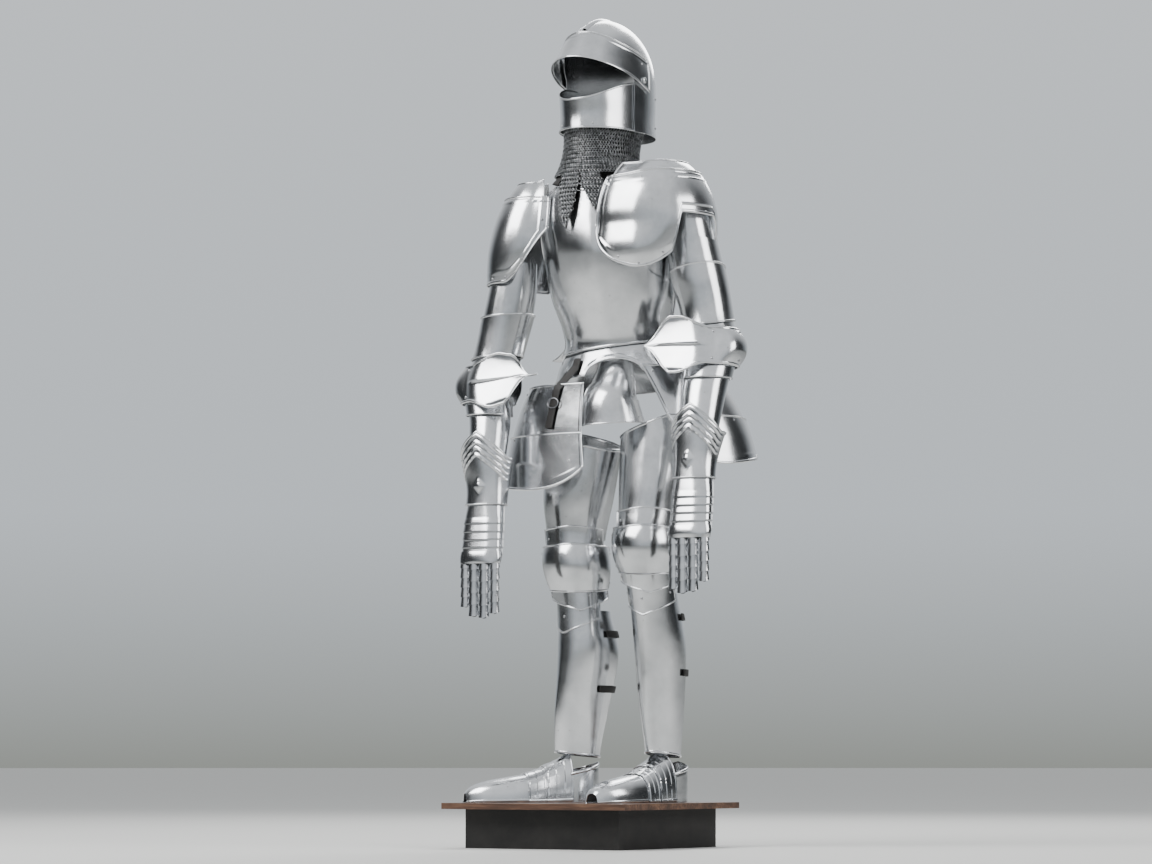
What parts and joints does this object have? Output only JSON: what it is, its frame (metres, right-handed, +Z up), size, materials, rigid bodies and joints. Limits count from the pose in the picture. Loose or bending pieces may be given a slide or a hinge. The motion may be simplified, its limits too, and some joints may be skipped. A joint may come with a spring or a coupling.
{
  "type": "suit of plate armour on a display base",
  "caption": "Empty full suit of polished plate armour standing in walking pose on a square display base, with a hinged visor.",
  "frame": {"origin": "centre of the underside of the display base", "axes": "+Z up, the base faces -Y, the suit's own left is +X"},
  "size_m": [0.6866, 0.5366, 1.9476],
  "materials": {
    "steel": "polished",
    "mail": "oiled mail rings",
    "glove_leather": "matt black",
    "board": "stained",
    "plinth": "matt black paint"
  },
  "bodies": {
    "suit": {"backplate": "steel", "base_board": "board", "base_plinth": "plinth", "brayette_lame_1": "steel", "brayette_lame_2": "steel", "brayette_lame_3": "steel", "breastplate": "steel", "couter_left": "steel", "couter_lower_lame_left": "steel", "couter_lower_lame_right": "steel", "couter_right": "steel", "couter_upper_lame_left": "steel", "couter_upper_lame_right": "steel", "cuisse_left": "steel", "cuisse_right": "steel", "culet_rear": "steel", "demi_greave_left": "steel", "demi_greave_right": "steel", "fauld_front": "steel", "gauntlet_back_left": "steel", "gauntlet_back_right": "steel", "gauntlet_cuff_left": "steel", "gauntlet_cuff_right": "steel", "gauntlet_fingers_left": "steel", "gauntlet_fingers_right": "steel", "glove_left": "glove_leather", "glove_right": "glove_leather", "greave_left": "steel", "greave_right": "steel", "helmet_bevor": "steel", "helmet_skull": "steel", "mail_collar": "mail", "pauldron_lame_left": "steel", "pauldron_lame_right": "steel", "pauldron_left": "steel", "pauldron_right": "steel", "poleyn_left": "steel", "poleyn_lower_lame_left": "steel", "poleyn_lower_lame_right": "steel", "poleyn_right": "steel", "poleyn_upper_lame_left": "steel", "poleyn_upper_lame_right": "steel", "rerebrace_left": "steel", "rerebrace_right": "steel", "rerebrace_upper_right": "steel", "sabaton_instep_left": "steel", "sabaton_instep_right": "steel", "sabaton_lame_left": "steel", "sabaton_lame_right": "steel", "sabaton_toe_left": "steel", "sabaton_toe_right": "steel", "spaulder_lame_1_left": "steel", "spaulder_lame_2_left": "steel", "tasset_left_lower": "steel", "tasset_left_upper": "steel", "tasset_right_lower": "steel", "tasset_right_upper": "steel", "vambrace_left": "steel", "vambrace_right": "steel"},
    "visor": {"helmet_visor": "steel"}
  },
  "joints": [
    {"name": "visor_hinge", "type": "hinge", "parent": "suit", "child": "visor", "pos_m": [0.015, 0.044, 1.7944], "axis": [1, 0, 0], "range_deg": [-60, 34]}
  ]
}
